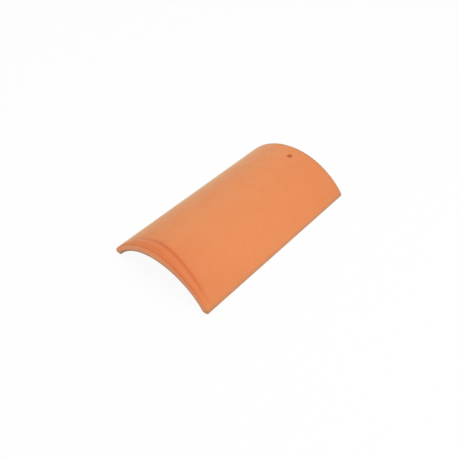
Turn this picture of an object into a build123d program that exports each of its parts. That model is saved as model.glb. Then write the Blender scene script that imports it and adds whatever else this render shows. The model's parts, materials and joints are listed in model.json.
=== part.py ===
from build123d import *
from math import cos, radians, sin, sqrt
import os

# Barrel: a fired clay wall of even thickness, bent to part of a circle and standing on two feet
tile_length = 400
foot_spread = 237.5  # across the outer corners of the feet, before they are rounded
crown_rise = 64.5  # from the floor to the top of the barrel
wall = 14
foot_outer_round = 5.5
foot_inner_round = 4
end_round = 2.5

# Collar: a low rounded roll across the lower end, proudest at the crown and dying out above the feet
collar_proud = 3.5  # of its crest above the barrel, at the crown
collar_front = 3.5  # from the lower end to the crease in front of the roll, at the crown
collar_back = 24  # from the lower end to the crease behind the roll, at the crown
collar_ring = 135  # radius of the ring that the crest follows
collar_lean = 8  # degrees by which that ring leans out to the lower end at the feet
collar_setback = 1  # from the lower end to the front of the roll's root, inside the wall
collar_foot = 10  # height at which the roll's root ends, inside the wall

# Nail hole, pierced through the crown near the upper end
nail_bore = 12
nail_setback = 30
nail_rim = 0.8  # rounding where the hole opens on the weather side

# Cutting solids run this far past what they cut
overrun = 10


def arc_radius(half_chord, rise):
    return (half_chord**2 + rise**2) / (2 * rise)


# Sizes that follow from the driving ones
upper_end = tile_length / 2
lower_end = -upper_end
foot_half = foot_spread / 2
barrel_radius = arc_radius(foot_half, crown_rise)
barrel_axis_z = crown_rise - barrel_radius
arch_rise = crown_rise - wall
arch_half = sqrt((barrel_radius - wall) ** 2 - barrel_axis_z**2)
crest_y = lower_end + (collar_front + collar_back) / 2
crest_z = crown_rise + collar_proud
roll_radius = arc_radius((collar_back - collar_front) / 2, collar_proud)
roll_centre_z = crest_z - roll_radius


def make_barrel():
    # Two concentric arcs joined by flat feet make the section, which is drawn out along the tile
    outer = ThreePointArc((-foot_half, 0), (0, crown_rise), (foot_half, 0))
    inner = ThreePointArc((-arch_half, 0), (0, arch_rise), (arch_half, 0))
    left_foot = Line(outer @ 0, inner @ 0)
    right_foot = Line(outer @ 1, inner @ 1)
    section = make_face(outer + right_foot + inner + left_foot)
    corners = section.vertices().sort_by(Axis.X)
    section = fillet([corners[0], corners[-1]], foot_outer_round)
    corners = section.vertices().group_by(Axis.Y)[0].sort_by(Axis.X)
    section = fillet(corners[1:-1], foot_inner_round)
    barrel = extrude(Plane.XZ * section, upper_end, both=True)
    ends = barrel.faces().filter_by(Axis.Y)
    return fillet(ends.edges(), end_round)


def make_collar():
    # The roll's side view at the crown, a segment of a circle rooted in mid wall, turned about an axis
    # that lies above the barrel's and leans, so that the roll sinks into the wall towards the feet
    root_z = crown_rise - wall / 2
    root_half = sqrt(roll_radius**2 - (root_z - roll_centre_z) ** 2)
    front = Vector(crest_y - root_half, root_z)
    back = Vector(crest_y + root_half, root_z)
    profile = make_face(ThreePointArc(front, (crest_y, crest_z), back) + Line(back, front))
    lean = radians(collar_lean)
    reach = collar_ring - roll_radius
    hub = (0, crest_y - reach * sin(lean), roll_centre_z - reach * cos(lean))
    ring = revolve(Plane.YZ * profile, Axis(hub, (0, cos(lean), -sin(lean))))
    above_feet = Pos(0, lower_end + collar_setback, collar_foot) * Box(
        foot_spread, upper_end, crest_z, align=(Align.CENTER, Align.MIN, Align.MIN)
    )
    return ring & above_feet


def make_nail_hole():
    # Half of the hole's outline beside its axis, its mouth flared by a quarter round, turned full circle
    radius = nail_bore / 2
    mouth_radius = radius + nail_rim
    top = crown_rise + overrun
    bottom = arch_rise - overrun
    wall_top = Vector(radius, crown_rise - nail_rim)
    mouth_edge = Vector(mouth_radius, crown_rise)
    mouth = TangentArc(wall_top, mouth_edge, tangent=(0, 1))
    sides = Polyline(mouth_edge, (mouth_radius, top), (0, top), (0, bottom), (radius, bottom), wall_top)
    hole = revolve(Plane.XZ * make_face(mouth + sides), Axis.Z)
    return Pos(0, upper_end - nail_setback, 0) * hole


def make_tile():
    return make_barrel() + make_collar() - make_nail_hole()


os.makedirs("parts", exist_ok=True)
export_step(make_tile(), "parts/roof_tile.step")
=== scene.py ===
import json
import bmesh
import bpy
import numpy as np
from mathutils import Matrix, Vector


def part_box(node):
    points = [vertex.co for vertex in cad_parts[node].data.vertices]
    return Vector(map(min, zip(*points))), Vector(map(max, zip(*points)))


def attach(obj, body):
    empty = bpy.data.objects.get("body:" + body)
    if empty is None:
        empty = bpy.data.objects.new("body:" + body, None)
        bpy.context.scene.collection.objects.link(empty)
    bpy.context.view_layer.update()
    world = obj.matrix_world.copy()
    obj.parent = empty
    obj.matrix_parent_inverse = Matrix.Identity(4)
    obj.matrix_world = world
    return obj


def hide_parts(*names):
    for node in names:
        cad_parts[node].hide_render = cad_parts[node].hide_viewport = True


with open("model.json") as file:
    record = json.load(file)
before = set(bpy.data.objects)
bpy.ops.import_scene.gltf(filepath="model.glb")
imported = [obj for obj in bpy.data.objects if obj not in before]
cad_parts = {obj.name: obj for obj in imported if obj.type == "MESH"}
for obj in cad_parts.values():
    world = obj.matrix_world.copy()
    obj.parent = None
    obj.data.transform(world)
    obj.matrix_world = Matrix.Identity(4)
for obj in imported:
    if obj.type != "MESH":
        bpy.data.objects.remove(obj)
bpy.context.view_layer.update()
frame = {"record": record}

# the tile as fired, in metres; its length and its nail hole come from the frame further down
tile = {
    "footSpread": 0.2375,      # across the outer foot corners before they are rounded
    "crownRise": 0.0645,       # floor to the top of the barrel
    "wall": 0.014,
    "footOuterRound": 0.0055,
    "footInnerRound": 0.004,
    "endRound": 0.0025,
    "collarProud": 0.0035,     # roll above the barrel at the crown
    "collarFront": 0.0034,     # lower end to the crease before the roll where it is widest
    "collarBack": 0.0259,      # lower end to the crease behind the roll
    "frontSlope": 0.036,       # how fast the creases draw in to the lower end on both sides
    "backSlope": 0.145,
    "leftBackSlope": 0.195,    # steeper for the back crease on the left flank
    "apexX": -0.015,           # where the roll is widest, a little left of the crown
    "apexRound": 0.017,        # how gently the creases turn there
    "collarRing": 0.135,       # radius of the ring that the roll's crest follows
    "collarTilt": 8.0,         # degrees that the ring leans towards the lower end at the feet
    "creaseBlend": 0.0005,     # how softly the roll runs into the barrel
    "runLimit": 2.0,           # how far past its creases the roll's curve is followed, as run squared
    "beadWidth": 0.0066,       # narrow bead along the front of the roll, left of the crown
    "beadGroove": 0.0003,
    "beadCrease": 0.0014,
    "beadEnd": 0.012,          # where it fades out right of the crown, and over what length
    "beadFade": 0.014,
    "holeRim": 0.0008,         # rounding of the nail hole on the weather side and underneath
    "holeUnderRim": 0.0004,
    "warp": 0.00022,           # slow unevenness left by drying and firing
    "warpWaves": 7,            # how many waves it is made of, and their most radians a metre
    "warpAcross": 18.0,
    "warpAlong": 22.0,
    "raggedEnd": 0.00025,      # how far the two ends wander lengthwise
    "raggedTurns": 5.0,        # how many times shorter those waves are round the arch
    "raggedPower": 24,         # how close to an end they stay
    "seed": 7,
    # where painted shade makes the clay redder or darker, and where it is dusty, which becomes masks on the
    # mesh
    "frontCrease": 0.0016,     # widths of the lines of painted crease shade
    "backCrease": 0.0038,
    "rightFade": 0.250,        # right of the crown, over what length the back line fades
    "leftEnd": -0.055,         # left of the crown, where it starts to fade, and over what length
    "leftFade": 0.050,
    "fullRoll": 0.5,           # share of the roll's height at the crown from which it is coloured in full
    "beadShare": 0.5,          # strength of the painted shade behind the bead, the front line's being 1
    "blushLength": 0.020,      # redder cast that trails off behind the roll
    "blushShare": 0.60,
    "footWear": 0.0040,        # how far the dusty edges reach up from the feet and in from the upper end
    "endWear": 0.007,
    "underShadeReach": 0.012,        # how far the painted shade reaches in under the lower end
    "underShadePower": 2,            # how it thins out there, and up the end face
    "faceUnderShadePower": 1.5,
    # how finely the surface is cut up
    "arcSteps": 60,            # crown to foot
    "footSteps": 6,            # each rounded foot corner
    "flatSteps": 4,            # flat under a foot
    "roundSteps": 6,           # rounded edge of an end
    "capSteps": 4,             # end face, edge to mid wall
    "collarLength": 0.034,     # stretch of close rows at the lower end
    "collarRows": 44,
    "barrelRows": 82,          # from there to the nail hole's patch
    "holeHalf": 0.010,         # half length of that patch
    "holeRows": 10,
    "holeColumns": 5,          # columns each side of the crown in it
    "tailRows": 10,            # from the patch to the upper end
    "ringSteps": 5,            # from the patch's rim to the hole's mouth, round its edge and down its bore
    "rimSteps": 4,
    "boreSteps": 4,
    "mergeWithin": 1e-6,       # points closer than this become one
}


# radius of the arc over a chord: (half chord squared + rise squared) / twice the rise
def arcRadius(halfChord, rise):
    return (halfChord**2 + rise**2) / (2 * rise)


# sine and cosine of an angle measured from straight up, as x and z
def upright(angle):
    return np.stack([np.sin(angle), np.cos(angle)], -1)


# straight fall from 1 to 0 over a length: 1 - distance / length, kept from 0 to 1
def fadeOver(distance, length):
    return np.clip(1 - distance / length, 0, 1)


# bell across a line: e to the minus (distance / width) squared
def bell(distance, width):
    return np.exp(-(distance / width)**2)


nodeLow, nodeHigh = (np.array(c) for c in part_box("roof_tile"))
nail = next(m for m in frame["record"]["mounts"] if m["name"] == "nail_hole")
tileLength = nodeHigh[1] - nodeLow[1]
nearY = nodeLow[1]
holeY = nail["pos_m"][1]
holeRadius = nail["dims"]["r_mm"] / 1000       # millimetres to metres
outerRadius = arcRadius(tile["footSpread"] / 2, tile["crownRise"])
innerRadius = outerRadius - tile["wall"]
axisZ = tile["crownRise"] - outerRadius
collarLean = np.radians(tile["collarTilt"])


# height of an arc round the barrel's axis: axis + root of (radius squared - x squared)
def arcHeight(radius, x):
    return axisZ + np.sqrt(radius**2 - x**2)


# a half loop from crown to crown, then its mirror image without the two crown points
def wholeLoop(half, flip=1):
    return np.concatenate([half, half[-2:0:-1] * flip])


# the arch's section as one closed loop, from the crown outside round the right foot, along the inside to
# the crown and back by the left foot: arcs are centre + radius * (sin, cos), foot corners turn about
# centres that stand their own radius over the floor, and mid is each point's partner in mid wall, where
# the end faces close; corner is the dust on the feet's corners, 1 at its thickest
def archLoop():
    outRound, inRound = tile["footOuterRound"], tile["footInnerRound"]
    outTurn = np.arccos((outRound - axisZ) / (outerRadius - outRound))
    inTurn = np.arccos((inRound - axisZ) / (innerRadius + inRound))
    axis = np.array([0, axisZ])
    outCentre = axis + (outerRadius - outRound) * upright(outTurn)
    inCentre = axis + (innerRadius + inRound) * upright(inTurn)
    share = np.linspace(0, 1, tile["arcSteps"] + 1)
    back = share[-2::-1]
    outFoot = np.linspace(outTurn, np.pi, tile["footSteps"] + 1)[1:]
    inFoot = np.linspace(np.pi, np.pi + inTurn, tile["footSteps"] + 1)
    flat = np.linspace(0, 1, tile["flatSteps"] + 1)[1:-1, None]
    flatPoints = outCentre * (1 - flat) + inCentre * flat
    flatPoints[:, 1] = 0
    points = np.concatenate([
        axis + outerRadius * upright(share * outTurn),
        outCentre + outRound * upright(outFoot),
        flatPoints,
        inCentre + inRound * upright(inFoot),
        axis + innerRadius * upright(back * inTurn),
    ])
    normals = np.concatenate([
        upright(share * outTurn),
        upright(outFoot),
        np.tile([0.0, -1.0], (len(flat), 1)),
        upright(inFoot),
        -upright(back * inTurn),
    ])
    footCount = len(points) - len(share) - len(back)
    midShare = np.concatenate([share, np.ones(footCount), back])
    mid = axis + (outerRadius - tile["wall"] / 2) * upright(midShare * (outTurn + inTurn) / 2)
    outside = np.concatenate([np.ones(len(share)), np.zeros(footCount + len(back))])
    aboveFoot = (1 - share) * outTurn * outerRadius
    corner = np.concatenate([
        fadeOver(aboveFoot, tile["footWear"]),
        np.cos((outFoot - outTurn) / (np.pi - outTurn) * np.pi / 2),
        np.zeros(len(flat)),
        np.sin((inFoot - np.pi) / inTurn * np.pi),
        np.zeros(len(back)),
    ])
    flip = np.array([-1, 1])
    return {
        "points": wholeLoop(points, flip),
        "normals": wholeLoop(normals, flip),
        "mid": wholeLoop(mid, flip),
        "outside": wholeLoop(outside),
        "corner": wholeLoop(corner),
        "innerCrown": len(points) - 1,
    }


# the collar's roll at an angle round the arch: its crest falls away from the crown by
# ring - root of (ring squared - x squared) in a leaning plane, which gives its height over the barrel; the
# creases before and behind it follow start - slope * (root of (d squared + r squared) - r), d being the
# distance across from their apex
def collarShape(angle):
    x = outerRadius * np.sin(angle)
    fall = tile["collarRing"] - np.sqrt(tile["collarRing"]**2 - x**2)
    crestZ = tile["crownRise"] + tile["collarProud"] - fall * np.cos(collarLean)
    height = np.hypot(x, crestZ - axisZ) - outerRadius
    aside = np.hypot(x - tile["apexX"], tile["apexRound"]) - tile["apexRound"]
    backSlope = np.where(x < tile["apexX"], tile["leftBackSlope"], tile["backSlope"])
    front = tile["collarFront"] - tile["frontSlope"] * aside
    back = tile["collarBack"] - backSlope * aside
    return front, back, height


# groove behind the narrow bead: a bell across the line front + bead width, dying out like half of (1 - tanh)
def beadLine(angle, s, front):
    fade = (1 - np.tanh((outerRadius * np.sin(angle) - tile["beadEnd"]) / tile["beadFade"])) / 2
    return bell(s - front - tile["beadWidth"], tile["beadCrease"]) * fade


# roll standing off the barrel: height * (1 - run squared), run being 1 at the creases, eased into the
# barrel like half of (height + root of (height squared + blend squared)), less the bead's groove
def collarLift(angle, s):
    front, back, height = collarShape(angle)
    half = np.maximum((back - front) / 2, tile["creaseBlend"])
    run = (s - (front + back) / 2) / half
    over = np.maximum(height, 0) * (1 - np.minimum(run**2, tile["runLimit"])) + np.minimum(height, 0)
    eased = (over + np.sqrt(over**2 + tile["creaseBlend"]**2)) / 2
    return eased - beadLine(angle, s, front) * np.minimum(tile["beadGroove"], eased)


# rows along the tile, as columns of numbers: the place s, how much of each end's rounding a row takes in
# both directions, how far it has closed from mid wall out to the edge, its dust, and its painted shade under
# the lower end; an end's edge is a quarter circle, its face a straight run, and the last rows crowd to the
# upper end as a square
def lengthRows():
    turn = np.linspace(0, np.pi / 2, tile["roundSteps"] + 1)
    cap = np.linspace(0, 1, tile["capSteps"])[:-1]
    holeStart = holeY - nearY - tile["holeHalf"]
    holeEnd = holeStart + 2 * tile["holeHalf"]
    tailLength = tileLength - holeEnd
    collarEnd = tile["collarLength"]
    rollShadeTone = np.linspace(0, collarEnd, tile["collarRows"])[1:]
    barrel = np.linspace(collarEnd, holeStart, tile["barrelRows"])[1:]
    hole = np.linspace(holeStart, holeEnd, tile["holeRows"] + 1)[1:]
    tail = tileLength - tailLength * np.linspace(1, 0, tile["tailRows"])[1:-1]**2
    body = np.concatenate([rollShadeTone, barrel, hole, tail])
    inset, shift = 1 - np.sin(turn), 1 - np.cos(turn)

    # lower end face, its rounded edge, the body, the upper end's edge and face, one after the other
    def column(*stretches):
        counts = (len(cap), len(turn), len(body), len(turn), len(cap))
        parts = [np.broadcast_to(value, count) for value, count in zip(stretches, counts)]
        return np.concatenate(parts)[:, None]

    rows = {
        "s": column(0, 0, body, tileLength, tileLength),
        "nearInset": column(1, inset, 0, 0, 0),
        "nearShift": column(0, shift, fadeOver(body, collarEnd), 0, 0),
        "farInset": column(0, 0, 0, inset[::-1], 1),
        "farShift": column(0, 0, np.clip((body - holeEnd) / tailLength, 0, 1), shift[::-1], 0),
        "close": column(cap, 1, 1, 1, cap[::-1]),
        "dustAndSheen": column(0, 0, fadeOver(tileLength - body, tile["endWear"]), 1, cap[::-1]),
        "underShade": column(
            cap**tile["faceUnderShadePower"], 1,
            fadeOver(body, tile["underShadeReach"])**tile["underShadePower"], 0, 0),
    }
    holeRow = len(cap) + len(turn) + len(rollShadeTone) + len(barrel) - 1
    return rows, holeRow


# the loop carried along the rows: point + normal * (collar - inset), then drawn towards mid wall on the
# end faces
def tileSheet(loop, rows, angle):
    shift = tile["endRound"] * (rows["nearShift"] - rows["farShift"])
    inset = tile["endRound"] * (rows["nearInset"] + rows["farInset"])
    s = np.broadcast_to(rows["s"] + shift, (len(shift), len(angle)))
    lift = collarLift(angle, s) * loop["outside"]
    flat = loop["points"] + loop["normals"] * (lift - inset)[..., None]
    flat = loop["mid"] + (flat - loop["mid"]) * rows["close"][..., None]
    return s, np.stack([flat[..., 0], nearY + s, flat[..., 1]], -1)


# masks on the same grid, 0 to 1: painted shade on the roll between ramps at its creases, the back one
# centred on the line, with a cast behind it that dies away as e to the minus (distance / length); bells of
# painted shade along the creases, the back one fading to both sides; painted light on the ends' faces and
# rounded edges, painted shade under the lower end and the dusty edges come straight from the rows and the
# loop
def tileMasks(loop, rows, angle, s):
    front, back, height = collarShape(angle)
    across = outerRadius * np.sin(angle)
    frontRamp = np.clip((s - front) / tile["frontCrease"], 0, 1)
    backRamp = np.clip((back - s) / tile["backCrease"] + 1 / 2, 0, 1)
    blush = (s > back) * np.exp(-(s - back) / tile["blushLength"]) * tile["blushShare"]
    raised = np.clip(height / (tile["collarProud"] * tile["fullRoll"]), 0, 1)
    shown = raised * loop["outside"] * (rows["close"] == 1)
    bead = beadLine(angle, s, front) * tile["beadShare"]
    leftFall = np.clip((tile["leftEnd"] - across) / tile["leftFade"], 0, 1)
    backFade = np.maximum(1 - np.clip(across / tile["rightFade"], 0, 1) - leftFall, 0)
    return {
        "rollPaintedShade": np.maximum(frontRamp * backRamp, blush) * shown,
        "frontPaintedShade": np.maximum(bell(s - front, tile["frontCrease"]), bead) * shown,
        "backPaintedShade": bell(s - back, tile["backCrease"]) * shown * backFade,
        "endPaintedLight": np.broadcast_to(rows["nearInset"] + rows["farInset"], s.shape),
        "paintedUnderShade": rows["underShade"] * (1 - loop["outside"]),
        "edgeWear": np.clip(rows["dustAndSheen"] + loop["corner"], 0, 1),
    }


# row and column of each vertex round a rectangle of the grid, one side after the other
def patchRim(rowIndex, columnIndex):
    first, last = np.full_like(columnIndex, rowIndex[0]), np.full_like(columnIndex, rowIndex[-1])
    left, right = np.full_like(rowIndex, columnIndex[0]), np.full_like(rowIndex, columnIndex[-1])
    rimRows = np.concatenate([first[:-1], rowIndex[:-1], last[:0:-1], rowIndex[:0:-1]])
    rimColumns = np.concatenate([columnIndex[:-1], right[:-1], columnIndex[:0:-1], left[:0:-1]])
    return rimRows, rimColumns


# nail hole: straight rings from the patch's rim to a circle on the outer arc, a quarter round into the bore,
# the bore's wall, a smaller quarter round and rings out to the patch on the inner arc
def nailRings(outerRim, innerRim):
    centre = np.array([0, holeY])
    ways = outerRim[:, :2] - centre
    ways = ways / np.linalg.norm(ways, axis=1, keepdims=True)
    spread = np.linspace(0, 1, tile["ringSteps"] + 1)[1:-1, None, None]
    turn = np.linspace(0, np.pi / 2, tile["rimSteps"] + 1)[:, None, None]
    bore = np.linspace(0, 1, tile["boreSteps"] + 1)[1:-1, None, None]

    # rings on one arc, then the quarter round: radius + edge * (1 - sin), sunk by edge * (1 - cos)
    def mouthRings(rim, radius, edge, side):
        mouth = centre + ways * (holeRadius + edge)
        sheet = rim[:, :2] * (1 - spread) + mouth * spread
        sheet = np.concatenate([sheet, arcHeight(radius, sheet[..., :1])], -1)
        quarter = centre + ways * (holeRadius + edge * (1 - np.sin(turn)))
        sunk = arcHeight(radius, quarter[..., :1]) - side * edge * (1 - np.cos(turn))
        return np.concatenate([sheet, np.concatenate([quarter, sunk], -1)])

    top = mouthRings(outerRim, outerRadius, tile["holeRim"], 1)
    low = mouthRings(innerRim, innerRadius, tile["holeUnderRim"], -1)[::-1]
    return np.concatenate([top, top[-1] * (1 - bore) + low[0] * bore, low])


# four-cornered faces between neighbouring rows of an index grid whose columns run round and close
def wrapFaces(index):
    ahead = np.roll(index, -1, 1)
    return np.stack([index[:-1], ahead[:-1], ahead[1:], index[1:]], -1)


# the grid opened outside and inside over the nail hole's patch, with the rings joined on: points, faces,
# and a mask of painted light that is 1 from the hole's mouth through the bore
def pierceSheet(loop, grid, holeRow):
    rowCount, columnCount = grid.shape[:2]
    index = np.arange(rowCount * columnCount).reshape(rowCount, columnCount)
    faces = wrapFaces(index)
    side = np.arange(-tile["holeColumns"], tile["holeColumns"] + 1)
    holeRows = holeRow + np.arange(tile["holeRows"] + 1)
    outerColumns = side % columnCount
    innerColumns = loop["innerCrown"] - side
    keep = np.ones(faces.shape[:2], bool)
    keep[holeRows[0]:holeRows[-1], outerColumns[:-1]] = False
    keep[holeRows[0]:holeRows[-1], innerColumns[1:]] = False
    outerRim = patchRim(holeRows, outerColumns)
    innerRim = patchRim(holeRows, innerColumns)
    rings = nailRings(grid[outerRim], grid[innerRim])
    ringShape = rings.shape[:2]
    ringIndex = index.size + np.arange(np.prod(ringShape)).reshape(ringShape)
    ringIndex = np.vstack([index[outerRim], ringIndex, index[innerRim]])
    allFaces = np.concatenate([faces[keep], wrapFaces(ringIndex).reshape(-1, 4)])
    points = np.concatenate([grid.reshape(-1, 3), rings.reshape(-1, 3)])
    pierced = np.zeros(ringShape)
    pierced[tile["ringSteps"]:-tile["ringSteps"]] = 1
    return points, allFaces, np.concatenate([np.zeros(index.size), pierced.ravel()])


# slow warp over the whole tile: mean of a few sine waves in arc length and along the tile, with seeded
# directions
def slowWarp(angle, y):
    dice = np.random.default_rng(tile["seed"])
    across = dice.uniform(-tile["warpAcross"], tile["warpAcross"], tile["warpWaves"])
    along = dice.uniform(-tile["warpAlong"], tile["warpAlong"], tile["warpWaves"])
    phase = dice.uniform(0, 2 * np.pi, tile["warpWaves"])
    waves = np.sin(angle[:, None] * outerRadius * across + y[:, None] * along + phase)
    return waves.mean(1)


# drying warp pushes in and out from the barrel's axis and dies at the floor, so that the feet stay flat;
# the two ends wander along the tile by shorter waves, times a high power of the way from mid length
def warpPoints(points):
    x, y, z = points.T
    angle = np.arctan2(x, z - axisZ)
    standing = np.clip(z / tile["crownRise"], 0, 1)
    push = slowWarp(angle, y) * tile["warp"] * standing
    nearEnd = np.clip(np.abs(y) / (tileLength / 2), 0, 1)**tile["raggedPower"]
    wander = slowWarp(angle * tile["raggedTurns"] + np.sign(y), np.zeros(len(y)))
    moved = [np.sin(angle) * push, wander * tile["raggedEnd"] * nearEnd, np.cos(angle) * push]
    return points + np.stack(moved, -1)


# one closed mesh with its masks: unused points dropped, shared points merged, faces turned outwards
def fillMesh(name, points, faces, masks):
    used, faces = np.unique(faces, return_inverse=True)
    mesh = bpy.data.meshes.new(name)
    mesh.from_pydata(points[used].tolist(), [], faces.reshape(-1, 4).tolist())
    for maskName, mask in masks.items():
        layer = mesh.attributes.new(maskName, "FLOAT", "POINT")
        layer.data.foreach_set("value", mask[used].astype(np.float32))
    shell = bmesh.new()
    shell.from_mesh(mesh)
    bmesh.ops.remove_doubles(shell, verts=shell.verts, dist=tile["mergeWithin"])
    bmesh.ops.recalc_face_normals(shell, faces=shell.faces)
    shell.to_mesh(mesh)
    shell.free()
    mesh.polygons.foreach_set("use_smooth", np.ones(len(mesh.polygons), bool))
    mesh.update()
    return mesh


# the whole tile: section carried along the rows, pierced for the nail, warped and made a mesh
def makeTile():
    loop = archLoop()
    rows, holeRow = lengthRows()
    angle = np.arctan2(loop["points"][:, 0], loop["points"][:, 1] - axisZ)
    s, grid = tileSheet(loop, rows, angle)
    points, faces, borePaintedLightMask = pierceSheet(loop, grid, holeRow)
    bare = np.zeros(len(points) - s.size)      # the rings carry no other mask
    masks = {k: np.concatenate([v.ravel(), bare]) for k, v in tileMasks(loop, rows, angle, s).items()}
    masks["borePaintedLight"] = borePaintedLightMask
    piece = bpy.data.objects.new("clayTile", fillMesh("clayTile", warpPoints(points), faces, masks))
    bpy.context.scene.collection.objects.link(piece)
    return piece


# fired clay: colours are linear light, noises are (scale, detail, roughness), bumps are (strength,
# distance), and ranges are (from low, from high, to low, to high), by which a noise or a place in metres
# becomes a share
clay = {
    "body": (0.772, 0.251, 0.086),
    "flush": (0.742, 0.232, 0.078),             # redder towards both ends
    "dustAndSheen": (0.782, 0.273, 0.098),              # painted sheen: paler on the crown and left flank
    "pale": (0.815, 0.285, 0.108),
    "deep": (0.725, 0.215, 0.063),
    # painted shade on the roll, redder and darker
    "rollShadeTone": (0.745, 0.190, 0.060),
    # painted shade in the creases
    "creaseShadeTone": (0.615, 0.122, 0.033),
    "endLightTone": (0.830, 0.300, 0.126),               # painted light on the end faces and their rounded edges
    "bore": (0.920, 0.360, 0.140),              # painted light inside the nail hole, brighter than the body
    # painted shade under the lower end's inner edge
    "underShadeTone": (0.34, 0.160, 0.088),
    "worn": (0.545, 0.246, 0.113),
    "speck": (0.42, 0.13, 0.055),
    "sand": (0.900, 0.400, 0.175),              # pale grains in the body
    "kilnNoise": (7.0, 3.0, 0.5),               # slow change of tone over the tile
    "handNoise": (42.0, 4.0, 0.55),
    "drawNoise": (260.0, 3.0, 0.5),             # faint lines from shaping, stretched along the tile
    "drawStretch": (1.0, 0.06, 1.0),
    "grainNoise": (900.0, 4.0, 0.6),
    "chipNoise": (230.0, 5.0, 0.65),            # breaks up the edges
    "speckCells": 260.0,                        # a pit in each cell, and which of them get a dark speck
    "speckPick": (120.0, 2.0, 0.5),
    "sandCells": 1000.0,
    "sandPick": (420.0, 2.0, 0.5),
    "flushRange": (0.05, 0.19, 0.0, 1.0),       # way from mid length
    "paintedSheenRange": (0.06, -0.02, 0.0, 1.0),       # place across, where the painted sheen lies
    "kilnRange": (0.35, 0.65, 0.0, 0.25),
    "handRange": (0.45, 0.75, 0.0, 0.22),
    "drawRange": (0.5, 0.75, 0.0, 0.22),
    "grainRange": (0.5, 0.8, 0.0, 0.25),
    "paintedShadeAlong": (0.02, 0.12, 0.0, 0.22),      # painted shade: deeper tone at the upper right, along and across
    "paintedShadeAcross": (-0.02, 0.04, 0.0, 1.0),
    "collarLeft": (-0.06, 0.0, 0.60, 0.8),      # how strong the roll's painted shade is to the left and right
    "collarRight": (0.02, 0.09, 1.0, 0.7),
    "frontShare": 0.7,                          # depth of the painted shade in the two creases
    "backShare": 0.85,
    "endLightChips": (0.36, 0.62, 0.65, 1.1),
    "underShadePatches": (0.35, 0.6, 0.7, 1.0),
    "underShadeChips": (0.38, 0.60, 0.6, 1.25),
    "wornPatches": (0.38, 0.62, 0.60, 1.0),
    "wornChips": (0.38, 0.60, 0.55, 1.30),
    "speckRange": (0.10, 0.20, 1.0, 0.0),       # way from a cell's middle
    "speckPicked": (0.55, 0.65, 0.0, 0.5),
    "sandRange": (0.16, 0.34, 1.0, 0.0),
    "sandPicked": (0.48, 0.62, 0.0, 0.5),
    "pitRange": (0.05, 0.16, 0.0, 1.0),
    "roughRange": (0.35, 0.65, 0.58, 0.74),
    "pitBump": (0.5, 0.0003),
    "drawBump": (0.5, 0.00022),
    "grainBump": (0.6, 0.00022),
    "sandBump": (0.6, 0.00010),
    "specular": 0.25,
    "dustSheen": 0.45,                          # dry dust that pales the surface at low angles
    "dustRoughness": 0.35,
    "dustTint": (0.62, 0.90, 0.63, 1.0),
}


class nodeBench:
    # places nodes in one tree, row by row, and joins them by socket name or number
    perRow = 9
    columnGap = 220
    rowGap = 240
    mixSockets = (0, 6, 7)      # share and the two colours of a colour mix
    mixResult = 2

    def __init__(self, tree):
        self.tree = tree
        self.count = 0

    def add(self, kind, inputs=None, **settings):
        node = self.tree.nodes.new(kind)
        row, column = divmod(self.count, self.perRow)
        node.location = (self.columnGap * column, -self.rowGap * row)
        self.count += 1
        for name, value in settings.items():
            setattr(node, name, value)
        for name, value in (inputs or {}).items():
            if isinstance(value, bpy.types.NodeSocket):
                self.tree.links.new(value, node.inputs[name])
            else:
                node.inputs[name].default_value = value
        return node

    def maths(self, operation, *values):
        return self.add("ShaderNodeMath", dict(enumerate(values)), operation=operation).outputs[0]

    def times(self, product, *shares):
        for share in shares:
            product = self.maths("MULTIPLY", product, share)
        return product

    def mix(self, share, first, second):
        colours = [(*c, 1) if isinstance(c, tuple) else c for c in (first, second)]
        inputs = dict(zip(self.mixSockets, (share, *colours)))
        return self.add("ShaderNodeMix", inputs, data_type="RGBA").outputs[self.mixResult]

    def spread(self, value, span, ease="LINEAR"):
        names = ("Value", "From Min", "From Max", "To Min", "To Max")
        inputs = dict(zip(names, (value, *span)))
        return self.add("ShaderNodeMapRange", inputs, interpolation_type=ease).outputs["Result"]

    def noise(self, vector, pattern):
        inputs = dict(zip(("Vector", "Scale", "Detail", "Roughness"), (vector, *pattern)))
        return self.add("ShaderNodeTexNoise", inputs).outputs["Fac"]

    def cells(self, vector, scale):
        return self.add("ShaderNodeTexVoronoi", {"Vector": vector, "Scale": scale}).outputs["Distance"]

    def mask(self, name):
        return self.add("ShaderNodeAttribute", attribute_name=name).outputs["Fac"]

    def bump(self, height, relief, under=None):
        strength, distance = relief
        inputs = {"Strength": strength, "Distance": distance, "Height": height}
        if under is not None:
            inputs["Normal"] = under
        return self.add("ShaderNodeBump", inputs).outputs["Normal"]


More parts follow.
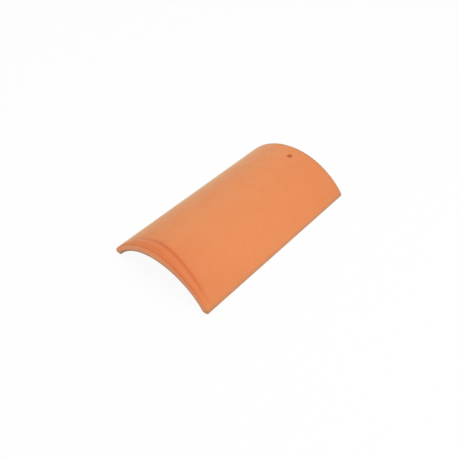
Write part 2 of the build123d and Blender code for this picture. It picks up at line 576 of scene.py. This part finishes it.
# coats of colour laid one after another over the body's, each by its own share; the same noises make
# the bumps
def makeClay():
    material = bpy.data.materials.new("firedClay")
    material.use_nodes = True
    material.node_tree.nodes.clear()
    bench = nodeBench(material.node_tree)
    place = bench.add("ShaderNodeTexCoord").outputs["Object"]
    drawn = bench.add("ShaderNodeMapping", {"Vector": place, "Scale": clay["drawStretch"]}).outputs["Vector"]
    where = bench.add("ShaderNodeSeparateXYZ", {"Vector": place}).outputs
    across, along = where["X"], where["Y"]
    fromMiddle = bench.maths("ABSOLUTE", along)
    kiln = bench.noise(place, clay["kilnNoise"])
    hand = bench.noise(place, clay["handNoise"])
    draws = bench.noise(drawn, clay["drawNoise"])
    grain = bench.noise(place, clay["grainNoise"])
    chips = bench.noise(place, clay["chipNoise"])
    specks = bench.cells(place, clay["speckCells"])
    speckPick = bench.noise(place, clay["speckPick"])
    sand = bench.cells(place, clay["sandCells"])
    sandPick = bench.noise(place, clay["sandPick"])

    def share(value, span, ease="LINEAR"):
        return bench.spread(value, clay[span], ease)

    red = bench.times(share(across, "collarLeft"), share(across, "collarRight"))
    grains = bench.times(share(sand, "sandRange"), share(sandPick, "sandPicked"))
    coats = [
        ("flush", share(fromMiddle, "flushRange", "SMOOTHSTEP")),
        # painted sheen: the crown and left flank paler
        ("dustAndSheen", share(across, "paintedSheenRange", "SMOOTHSTEP")),
        ("pale", share(kiln, "kilnRange")),
        ("deep", share(hand, "handRange")),
        ("deep", share(draws, "drawRange")),
        ("pale", share(grain, "grainRange")),
        # painted shade at the upper right
        ("deep", bench.times(share(along, "paintedShadeAlong"), share(across, "paintedShadeAcross"))),
        # painted shade on the roll
        ("rollShadeTone", bench.times(bench.mask("rollPaintedShade"), red)),
        # painted shade in the creases before and behind the roll
        ("creaseShadeTone", bench.times(bench.mask("frontPaintedShade"), clay["frontShare"])),
        ("creaseShadeTone", bench.times(bench.mask("backPaintedShade"), clay["backShare"])),
        # painted light on the end faces
        ("endLightTone", bench.times(bench.mask("endPaintedLight"), share(chips, "endLightChips"))),
        # painted light in the nail hole
        ("bore", bench.mask("borePaintedLight")),
        # painted shade under the lower end
        ("underShadeTone", bench.times(
            bench.mask("paintedUnderShade"), share(hand, "underShadePatches"), share(chips, "underShadeChips"))),
        ("worn", bench.times(
            bench.mask("edgeWear"), share(hand, "wornPatches"), share(chips, "wornChips"))),
        ("speck", bench.times(share(specks, "speckRange"), share(speckPick, "speckPicked"))),
        ("sand", grains),
    ]
    tone = clay["body"]
    for colour, coat in coats:
        tone = bench.mix(coat, tone, clay[colour])

    relief = bench.bump(share(specks, "pitRange"), clay["pitBump"])
    relief = bench.bump(draws, clay["drawBump"], relief)
    relief = bench.bump(grain, clay["grainBump"], relief)
    relief = bench.bump(grains, clay["sandBump"], relief)
    surface = bench.add("ShaderNodeBsdfPrincipled", {
        "Base Color": tone,
        "Roughness": share(hand, "roughRange"),
        "Normal": relief,
        "Specular IOR Level": clay["specular"],
        "Sheen Weight": clay["dustSheen"],
        "Sheen Roughness": clay["dustRoughness"],
        "Sheen Tint": clay["dustTint"],
    })
    bench.add("ShaderNodeOutputMaterial", {"Surface": surface.outputs["BSDF"]})
    print("clay: material made of", bench.count, "nodes")
    return material


clayTile = makeTile()
clayTile.data.materials.append(makeClay())
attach(clayTile, "root")
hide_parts("roof_tile")
print("tile: made", len(clayTile.data.vertices), "points,", len(clayTile.data.polygons), "faces")

# plain studio: white floor that keeps a faint shadow, white surroundings, soft dome and one broad lamp
studio = {
    "white": (1, 1, 1, 1),
    "floorHalf": 8.0,
    "floorGap": 0.0001,         # keeps the floor just clear of the feet
    "floorTone": (0.92, 0.92, 0.92, 1),
    "floorGlow": 0.93,          # share of the floor that shows the camera plain white
    "dome": 0.70,
    "lampPlace": (0.85, 0.1, 1.85),
    "lampSize": 1.6,
    "lampPower": 16.0,
}


# light path mask that is 1 for rays that show the surroundings: camera, glossy or transmission
def shownRays(bench):
    path = bench.add("ShaderNodeLightPath").outputs
    seen = bench.maths("MAXIMUM", path["Is Camera Ray"], path["Is Glossy Ray"])
    return bench.maths("MAXIMUM", seen, path["Is Transmission Ray"])


# square floor, its corners at plus and minus half its side
def makeFloor():
    corners = studio["floorHalf"] * np.array([[-1, -1, 0], [1, -1, 0], [1, 1, 0], [-1, 1, 0]])
    corners[:, 2] = -studio["floorGap"]
    mesh = bpy.data.meshes.new("floor")
    mesh.from_pydata(corners.tolist(), [], [(0, 1, 2, 3)])
    floor = bpy.data.objects.new("floor", mesh)
    bpy.context.scene.collection.objects.link(floor)
    material = bpy.data.materials.new("paleFloor")
    material.use_nodes = True
    material.node_tree.nodes.clear()
    bench = nodeBench(material.node_tree)
    share = bench.times(shownRays(bench), studio["floorGlow"])
    matt = bench.add("ShaderNodeBsdfDiffuse", {"Color": studio["floorTone"]}).outputs[0]
    glow = bench.add("ShaderNodeEmission", {"Color": studio["white"], "Strength": 1.0}).outputs[0]
    blend = bench.add("ShaderNodeMixShader", {0: share, 1: matt, 2: glow}).outputs[0]
    bench.add("ShaderNodeOutputMaterial", {"Surface": blend})
    mesh.materials.append(material)


# even dome that shows as plain white, and one round lamp turned to the tile
def lightStudio():
    world = bpy.data.worlds.new("paleRoom")
    bpy.context.scene.world = world
    world.use_nodes = True
    world.node_tree.nodes.clear()
    bench = nodeBench(world.node_tree)
    strength = bench.spread(shownRays(bench), (0.0, 1.0, studio["dome"], 1.0))
    room = bench.add("ShaderNodeBackground", {"Color": studio["white"], "Strength": strength}).outputs[0]
    bench.add("ShaderNodeOutputWorld", {"Surface": room})
    lamp = bpy.data.lights.new("broadLamp", "AREA")
    lamp.shape = "DISK"
    lamp.size = studio["lampSize"]
    lamp.energy = studio["lampPower"]
    holder = bpy.data.objects.new("broadLamp", lamp)
    holder.location = studio["lampPlace"]
    holder.rotation_euler = (-holder.location).to_track_quat("-Z", "Y").to_euler()
    bpy.context.scene.collection.objects.link(holder)


# camera at the photograph's angle, from the outline of the tile in a square picture
photoView = {
    "azimuth": 40.79,          # degrees round from looking straight along the tile
    "elevation": 43.585,
    "distance": 1.1735,
    "aim": (-0.0022, -0.0126, -0.0085),
    "lens": 47.95,
    "sensor": 36.0,
}


# place on a ball round the aim: aim + distance * (sin a cos e, -cos a cos e, sin e), a round and e up
def setCamera():
    a, e = np.radians([photoView["azimuth"], photoView["elevation"]])
    back = Vector((np.sin(a) * np.cos(e), -np.cos(a) * np.cos(e), np.sin(e)))
    lens = bpy.data.cameras.new("photoCamera")
    lens.lens = photoView["lens"]
    lens.sensor_width = photoView["sensor"]
    camera = bpy.data.objects.new("photoCamera", lens)
    camera.location = Vector(photoView["aim"]) + back * photoView["distance"]
    camera.rotation_euler = (-back).to_track_quat("-Z", "Y").to_euler()
    bpy.context.scene.collection.objects.link(camera)
    bpy.context.scene.camera = camera


makeFloor()
lightStudio()
setCamera()
bpy.context.scene.view_settings.view_transform = "Standard"
print("studio: floor, light and camera set")
